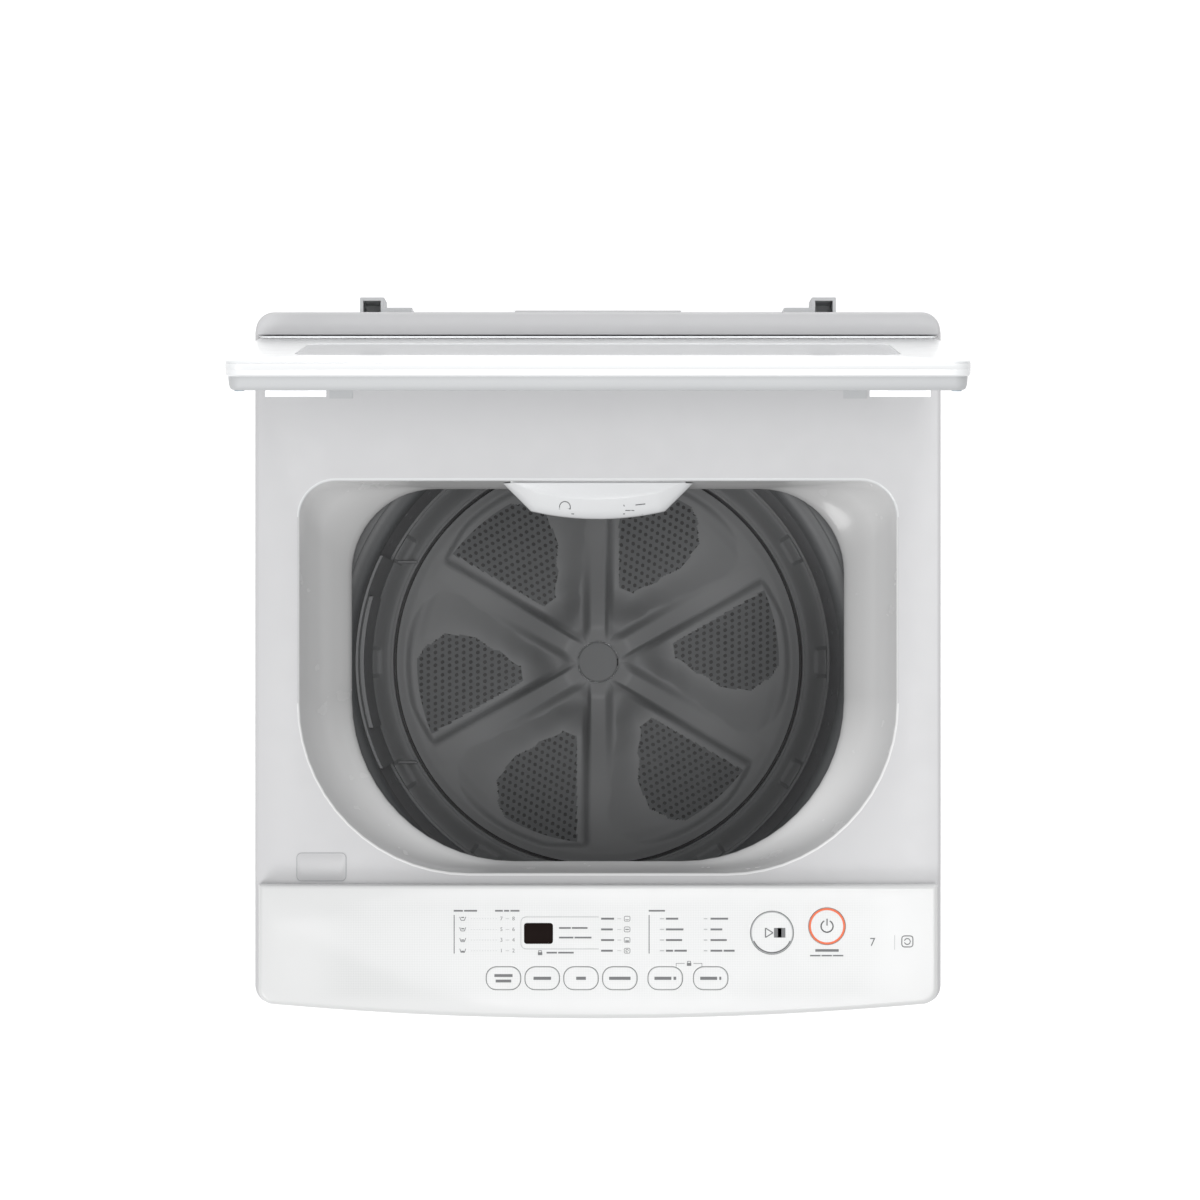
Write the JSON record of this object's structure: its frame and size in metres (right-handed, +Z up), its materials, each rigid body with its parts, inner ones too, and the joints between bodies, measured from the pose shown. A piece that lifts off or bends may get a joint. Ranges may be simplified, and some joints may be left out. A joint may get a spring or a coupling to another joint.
{
  "type": "top load washing machine",
  "caption": "Top load washing machine with its lid stood open, a bowl-shaped opening, a perforated pulsator in a steel basket, a detergent drawer and a front button console.",
  "frame": {"origin": "on the floor, under the middle of the bounding box", "axes": "+Z up, +Y towards the back, +X to the right seen from the front"},
  "size_m": [0.53, 0.5579, 1.2912],
  "materials": {
    "painted_steel": "glossy white enamel",
    "white_gloss": "glossy white moulding",
    "white_satin": "satin white moulding",
    "grey_plastic": "satin grey moulding",
    "dark_plastic": "black moulding",
    "clear_window": "tinted toughened glass",
    "display_black": "smoked window",
    "circuit_board": "green laminate",
    "zinc_steel": "zinc plated",
    "stainless": "pierced stainless sheet",
    "bearing_steel": "ground steel",
    "cast_alloy": "die cast",
    "tub_plastic": "natural polypropylene",
    "rubber_black": "matt",
    "rubber_blue": "soft pale blue",
    "motor_steel": "dark enamel"
  },
  "bodies": {
    "chassis": {"base_frame": "grey_plastic", "fixed_feet": "rubber_black", "cabinet": "painted_steel", "rear_panel": "zinc_steel", "corner_brackets": "zinc_steel", "rear_screws": "zinc_steel", "top_cover": "white_gloss", "hinge_pins": "zinc_steel", "hinge_caps": "grey_plastic", "hose_hooks": "white_satin", "console_housing": "white_gloss", "console_overlay": "white_gloss", "display_window": "display_black", "display_board": "circuit_board", "drawer_housing": "white_satin", "inlet_valve": "white_satin", "inlet_hose": "rubber_black", "drain_outlet": "dark_plastic", "cord_gland": "dark_plastic", "suspension_rods": "zinc_steel", "suspension_springs": "zinc_steel"},
    "levelling_nut": {"levelling_nut": "zinc_steel"},
    "levelling_foot": {"levelling_foot": "rubber_black"},
    "lid": {"lid_shell": "white_gloss", "lid_window": "clear_window", "lid_frame": "white_satin", "lid_bumpers": "rubber_blue"},
    "drawer": {"detergent_drawer": "white_gloss"},
    "tub": {"outer_tub": "tub_plastic", "tub_cover": "tub_plastic", "drain_valve": "tub_plastic", "suspension_cups": "dark_plastic", "bearing_housing": "cast_alloy", "bearing": "bearing_steel", "carrier_frame": "zinc_steel", "gearbox_case": "zinc_steel", "drive_belt": "rubber_black", "motor_body": "motor_steel"},
    "basket": {"basket_drum": "stainless", "balancer_ring": "grey_plastic", "basket_base": "grey_plastic", "basket_spider": "cast_alloy", "spin_tube": "bearing_steel", "water_channel": "grey_plastic", "lint_filter": "grey_plastic"},
    "pulsator": {"pulsator": "grey_plastic", "pulsator_cap": "grey_plastic", "pulsator_shaft": "bearing_steel"},
    "drive": {"drive_pulley": "cast_alloy", "input_shaft": "bearing_steel"},
    "motor": {"motor_pulley": "cast_alloy", "motor_rotor": "bearing_steel"},
    "button_soak": {"button_soak": "white_gloss"},
    "button_wash": {"button_wash": "white_gloss"},
    "button_rinse": {"button_rinse": "white_gloss"},
    "button_spin": {"button_spin": "white_gloss"},
    "button_level": {"button_level": "white_gloss"},
    "button_course": {"button_course": "white_gloss"},
    "button_start": {"button_start": "white_gloss"},
    "button_power": {"button_power": "white_gloss"}
  },
  "joints": [
    {"name": "levelling_nut_turn", "type": "hinge", "parent": "chassis", "child": "levelling_nut", "pos_m": [0.2195, -0.2225, 0.0167], "axis": [0, 0, 1], "range_deg": [0, 1440]},
    {"name": "levelling_foot_slide", "type": "slide", "parent": "chassis", "child": "levelling_foot", "axis": [0, 0, -1], "range_m": [0, 0.006]},
    {"name": "lid_hinge", "type": "hinge", "parent": "chassis", "child": "lid", "pos_m": [0, 0.222, 0.895], "axis": [1, 0, 0], "range_deg": [0, 84.1]},
    {"name": "drawer_slide", "type": "slide", "parent": "chassis", "child": "drawer", "axis": [0, -1, 0], "range_m": [0, 0.055]},
    {"name": "tub_bounce", "type": "slide", "parent": "chassis", "child": "tub", "axis": [0, 0, 1], "range_m": [-0.02, 0.005], "stiffness_N_per_m": 12000, "springref_m": 0.02075, "deforming": ["suspension_springs"]},
    {"name": "basket_spin", "type": "hinge", "parent": "tub", "child": "basket", "pos_m": [0, -0.004, 0.343], "axis": [0, 0, 1], "continuous": true},
    {"name": "motor_spin", "type": "hinge", "parent": "tub", "child": "motor", "pos_m": [0.158, -0.004, 0.17], "axis": [0, 0, 1], "continuous": true},
    {"name": "drive_spin", "type": "hinge", "parent": "tub", "child": "drive", "pos_m": [0, -0.004, 0.17], "axis": [0, 0, 1], "continuous": true},
    {"name": "pulsator_spin", "type": "hinge", "parent": "tub", "child": "pulsator", "pos_m": [0, -0.004, 0.35], "axis": [0, 0, 1], "continuous": true},
    {"name": "button_soak_press", "type": "slide", "parent": "chassis", "child": "button_soak", "axis": [0, 0, -1], "range_m": [0, 0.0012], "stiffness_N_per_m": 500, "springref_m": -0.0015},
    {"name": "button_wash_press", "type": "slide", "parent": "chassis", "child": "button_wash", "axis": [0, 0, -1], "range_m": [0, 0.0012], "stiffness_N_per_m": 500, "springref_m": -0.0015},
    {"name": "button_rinse_press", "type": "slide", "parent": "chassis", "child": "button_rinse", "axis": [0, 0, -1], "range_m": [0, 0.0012], "stiffness_N_per_m": 500, "springref_m": -0.0015},
    {"name": "button_spin_press", "type": "slide", "parent": "chassis", "child": "button_spin", "axis": [0, 0, -1], "range_m": [0, 0.0012], "stiffness_N_per_m": 500, "springref_m": -0.0015},
    {"name": "button_level_press", "type": "slide", "parent": "chassis", "child": "button_level", "axis": [0, 0, -1], "range_m": [0, 0.0012], "stiffness_N_per_m": 500, "springref_m": -0.0015},
    {"name": "button_course_press", "type": "slide", "parent": "chassis", "child": "button_course", "axis": [0, 0, -1], "range_m": [0, 0.0012], "stiffness_N_per_m": 500, "springref_m": -0.0015},
    {"name": "button_start_press", "type": "slide", "parent": "chassis", "child": "button_start", "axis": [0, 0, -1], "range_m": [0, 0.0012], "stiffness_N_per_m": 500, "springref_m": -0.0015},
    {"name": "button_power_press", "type": "slide", "parent": "chassis", "child": "button_power", "axis": [0, 0, -1], "range_m": [0, 0.0012], "stiffness_N_per_m": 500, "springref_m": -0.0015}
  ],
  "couplings": [
    {"joint": "levelling_foot_slide", "follows": "levelling_nut_turn", "m_per_rad": 0.00023873},
    {"joint": "drive_spin", "follows": "motor_spin", "ratio": 0.2484},
    {"joint": "pulsator_spin", "follows": "motor_spin", "ratio": 0.04777}
  ]
}
